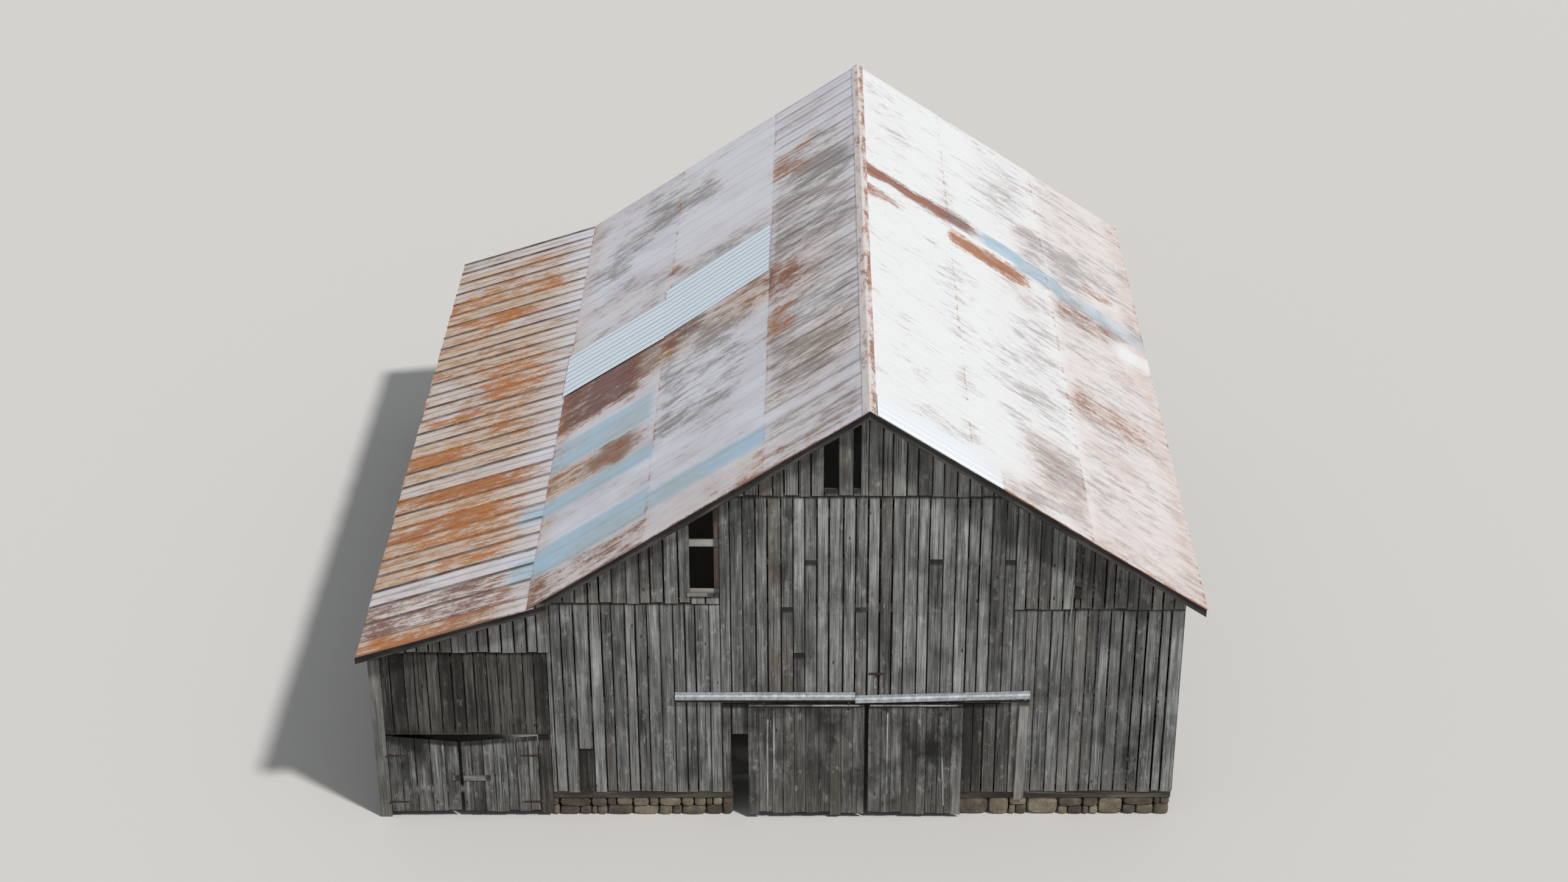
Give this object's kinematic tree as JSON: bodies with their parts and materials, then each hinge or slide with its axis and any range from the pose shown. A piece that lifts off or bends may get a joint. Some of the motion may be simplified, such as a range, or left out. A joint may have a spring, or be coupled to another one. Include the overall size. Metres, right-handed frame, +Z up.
{
  "type": "weathered timber barn with a lean-to shed",
  "caption": "Hollow timber-framed barn with weathered grey board walls, ribbed sheet-iron roof, side shed, two sliding doors on a hooded track and hinged shed doors.",
  "frame": {"origin": "on the ground, at the middle of the box around the whole building", "axes": "+Y to the rear along the ridge, so the door front faces -Y; +X to the right seen from the front; +Z up"},
  "size_m": [16.75, 18.3, 9.6054],
  "materials": {
    "weathered_boards": "unpainted, weathered silver grey",
    "frame_timber": "old sawn timber, brown-grey",
    "stained_boards": "brown-black stained boards",
    "pale_boards": "paler sawn boards",
    "roof_sheets": "dulled galvanised sheet iron with rust",
    "rusted_sheets": "rusted galvanised sheet iron",
    "galvanised_hood": "weathered galvanised sheet",
    "track_iron": "rusty iron",
    "foundation_stone": "rough fieldstone"
  },
  "bodies": {
    "barn": {"foundation": "foundation_stone", "sills": "frame_timber", "posts": "frame_timber", "door_jambs": "frame_timber", "door_headers": "frame_timber", "wall_girts": "frame_timber", "tie_beams": "frame_timber", "knee_braces": "frame_timber", "plates": "frame_timber", "shed_ledger": "frame_timber", "ridge_board": "frame_timber", "main_rafters": "frame_timber", "shed_rafters": "frame_timber", "roof_lath": "frame_timber", "rake_boards": "pale_boards", "top_sheets": "roof_sheets", "middle_sheets": "roof_sheets", "low_sheets": "roof_sheets", "shed_sheets": "rusted_sheets", "ridge_cap": "rusted_sheets", "front_left_boards": "weathered_boards", "front_right_boards": "weathered_boards", "over_door_boards": "weathered_boards", "door_side_boards": "weathered_boards", "front_upper_boards": "weathered_boards", "front_peak_boards": "weathered_boards", "shed_front_boards": "stained_boards", "shed_upper_boards": "weathered_boards", "right_wall_boards": "weathered_boards", "shed_side_boards": "weathered_boards", "rear_lower_boards": "weathered_boards", "rear_upper_boards": "weathered_boards", "trim_boards": "pale_boards", "hay_opening_boards": "pale_boards", "door_track": "track_iron", "track_hoods": "galvanised_hood", "pintles": "track_iron"},
    "left_sliding_door": {"left_door": "weathered_boards", "left_hangers": "track_iron"},
    "right_sliding_door": {"right_door": "weathered_boards", "right_hangers": "track_iron"},
    "left_shed_leaf": {"left_leaf": "weathered_boards", "left_strap_hinges": "track_iron"},
    "right_shed_leaf": {"right_leaf": "weathered_boards", "right_strap_hinges": "track_iron"}
  },
  "joints": [
    {"name": "left_door_slide", "type": "slide", "parent": "barn", "child": "left_sliding_door", "axis": [-1, 0, 0], "range_m": [0, 1.65]},
    {"name": "right_door_slide", "type": "slide", "parent": "barn", "child": "right_sliding_door", "axis": [1, 0, 0], "range_m": [0, 1.55]},
    {"name": "left_leaf_hinge", "type": "hinge", "parent": "barn", "child": "left_shed_leaf", "pos_m": [-7.925, -8.787, 1], "axis": [0, 0, -1], "range_deg": [0, 150]},
    {"name": "right_leaf_hinge", "type": "hinge", "parent": "barn", "child": "right_shed_leaf", "pos_m": [-4.875, -8.787, 1], "axis": [0, 0, 1], "range_deg": [0, 150]}
  ]
}
